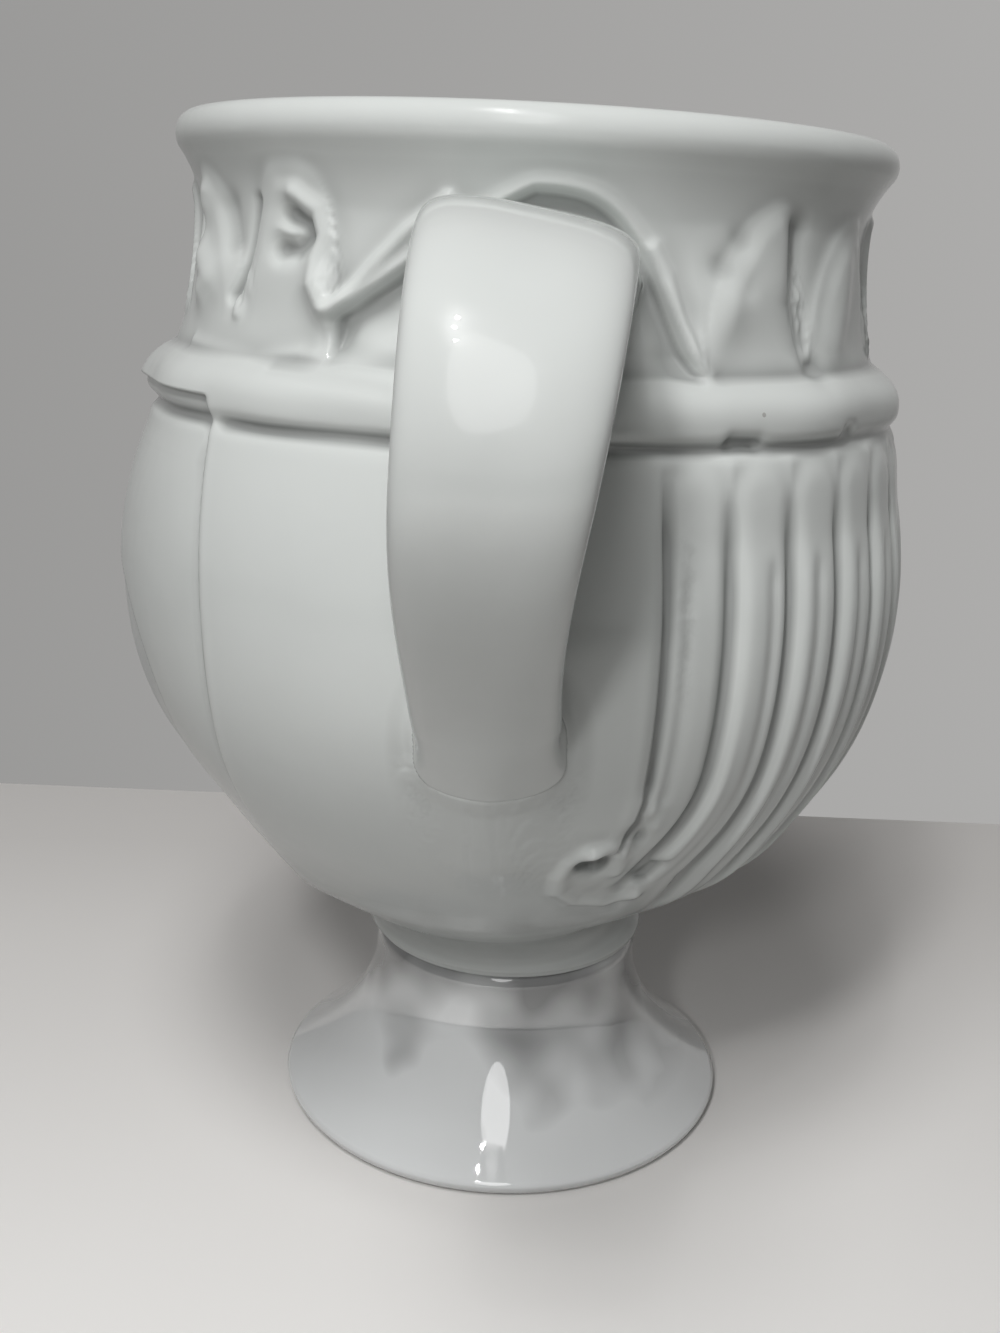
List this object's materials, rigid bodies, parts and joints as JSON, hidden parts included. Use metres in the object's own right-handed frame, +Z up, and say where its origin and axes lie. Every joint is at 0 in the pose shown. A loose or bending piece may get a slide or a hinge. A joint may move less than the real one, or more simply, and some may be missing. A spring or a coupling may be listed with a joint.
{
  "type": "footed mug",
  "caption": "Footed ceramic mug: a round pressed bowl with leaf tips on the neck, a belt and swept ribs, a strap handle, and a flared hollow foot.",
  "frame": {"origin": "on the table, under the middle of the mug's outline, handle included; the bowl's own axis stands 13.5 mm towards +Y of it", "axes": "+Z up along the bowl's axis, the handle towards -Y, +X to the right of someone who looks at the handle"},
  "size_m": [0.0978, 0.1248, 0.1275],
  "materials": {
    "bowl": "gloss",
    "foot": "gloss",
    "handle": "gloss",
    "foot_slip": "satin",
    "upper_slip": "satin",
    "lower_slip": "satin"
  },
  "bodies": {
    "root": {"bowl": "bowl", "pedestal_foot": "foot", "strap_handle": "handle", "foot_slip_joint": "foot_slip", "upper_handle_slip_joint": "upper_slip", "lower_handle_slip_joint": "lower_slip"}
  },
  "joints": []
}
